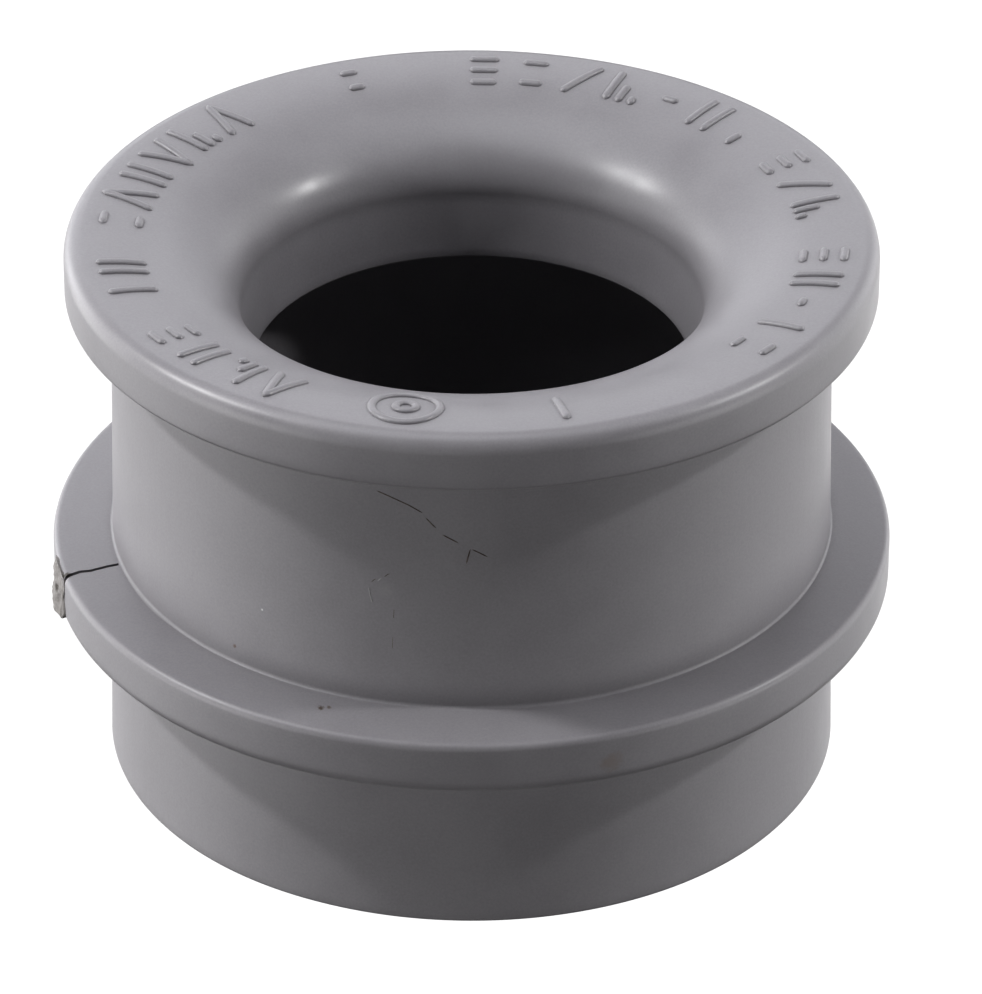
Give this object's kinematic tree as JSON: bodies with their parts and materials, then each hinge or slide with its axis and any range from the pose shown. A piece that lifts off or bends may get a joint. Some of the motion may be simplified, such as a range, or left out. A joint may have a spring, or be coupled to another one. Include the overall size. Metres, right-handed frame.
{
  "type": "conduit end bell",
  "caption": "Grey plastic end bell for rigid conduit: flared mouth ring, waisted sleeve with a pipe socket, and a split stop collar round it.",
  "frame": {"origin": "centre of the sleeve's lower face, on the bore's axis, where the fitting stands", "axes": "+Z along the bore from the pipe socket up to the bell mouth; the collar's split lies 164.5 degrees clockwise from +X, seen from above"},
  "size_m": [0.039, 0.039, 0.0264],
  "materials": {
    "mouth_grey_upvc": "satin injection-moulded grey uPVC",
    "sleeve_grey_upvc": "satin injection-moulded grey uPVC",
    "collar_grey_upvc": "satin injection-moulded grey uPVC"
  },
  "bodies": {
    "root": {"bell_mouth_ring": "mouth_grey_upvc", "socket_sleeve": "sleeve_grey_upvc", "stop_collar": "collar_grey_upvc"}
  },
  "joints": []
}
